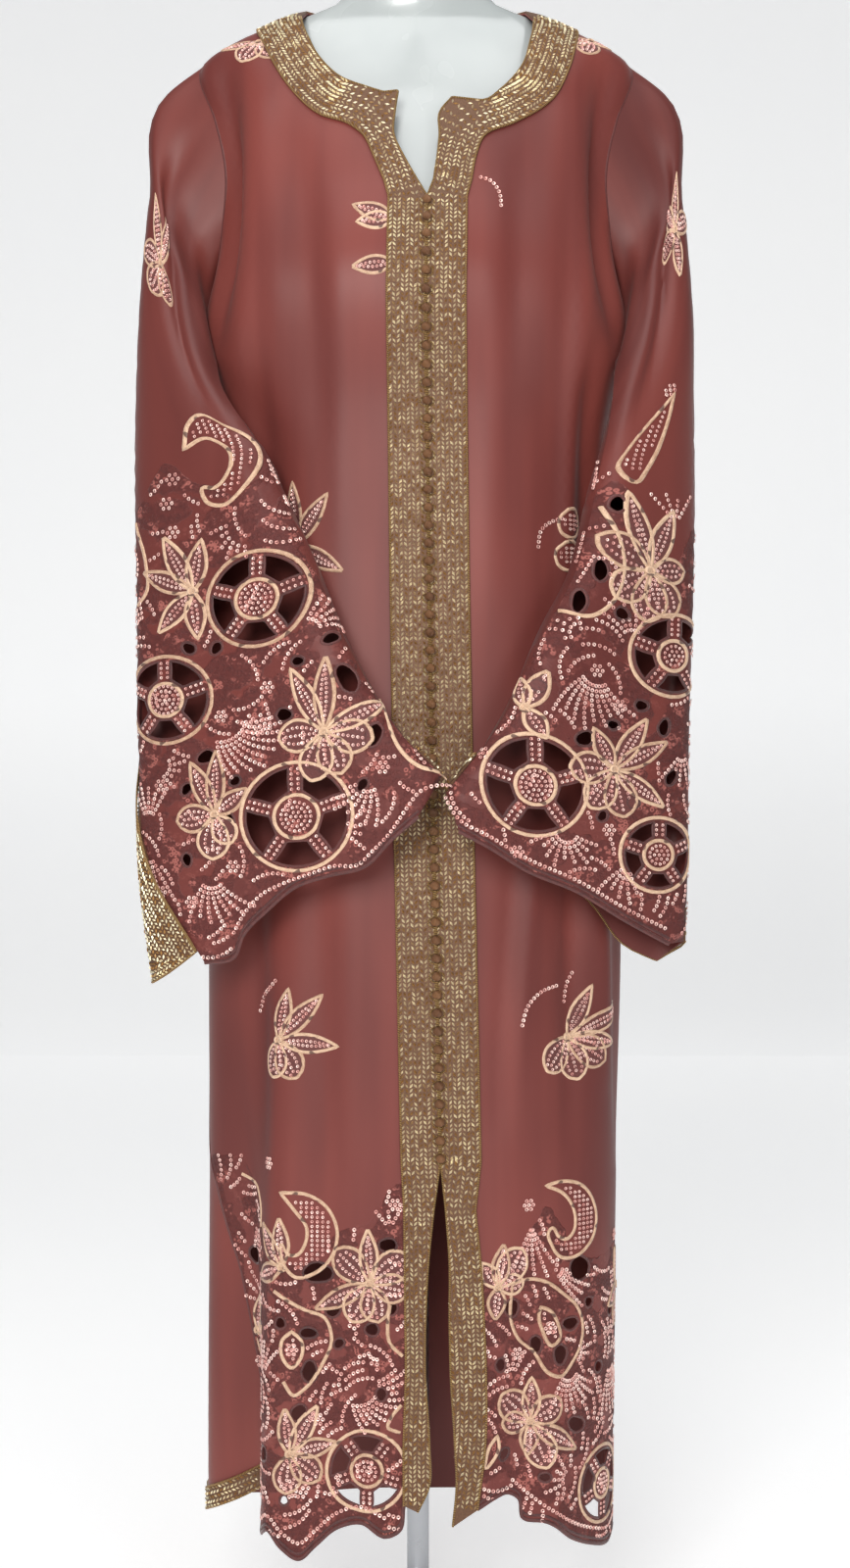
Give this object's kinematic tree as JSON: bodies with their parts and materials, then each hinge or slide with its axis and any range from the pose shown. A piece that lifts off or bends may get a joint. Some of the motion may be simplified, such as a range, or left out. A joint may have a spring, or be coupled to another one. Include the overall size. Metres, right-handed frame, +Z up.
{
  "type": "moroccan kaftan on dress form",
  "caption": "Full-length Moroccan kaftan of dark satin with cutwork sleeves and hem, gold braid and a buttoned front, worn by a limbless dress form on a round stand.",
  "frame": {"origin": "the floor under the middle of the dress form, on the stand's foot", "axes": "+Z up, the garment's front faces -Y, +X to the viewer's right as seen from the front"},
  "size_m": [0.5471, 0.3561, 1.715],
  "materials": {
    "satin_front_left": "satin",
    "satin_front_right": "satin",
    "satin_back": "satin",
    "satin_sleeve_left_front": "satin",
    "satin_sleeve_left_back": "satin",
    "satin_sleeve_right_front": "satin",
    "satin_sleeve_right_back": "satin",
    "braid_front_left": "metallic braid",
    "braid_front_right": "metallic braid",
    "braid_back_hem": "metallic braid",
    "braid_back_neck": "metallic braid",
    "braid_cuff_left": "metallic braid",
    "braid_cuff_right": "metallic braid",
    "button_cord": "knotted cord",
    "form_plastic": "smooth gloss",
    "stand_steel": "brushed"
  },
  "bodies": {
    "root": {"front_left": "satin_front_left", "front_right": "satin_front_right", "back": "satin_back", "sleeve_left_front": "satin_sleeve_left_front", "sleeve_left_back": "satin_sleeve_left_back", "sleeve_right_front": "satin_sleeve_right_front", "sleeve_right_back": "satin_sleeve_right_back", "braid_front_left": "braid_front_left", "braid_front_right": "braid_front_right", "braid_back_hem": "braid_back_hem", "braid_back_neck": "braid_back_neck", "braid_cuff_left": "braid_cuff_left", "braid_cuff_right": "braid_cuff_right", "buttons_front": "button_cord", "form_torso": "form_plastic", "stand_base": "stand_steel", "stand_pole": "stand_steel"}
  },
  "joints": []
}
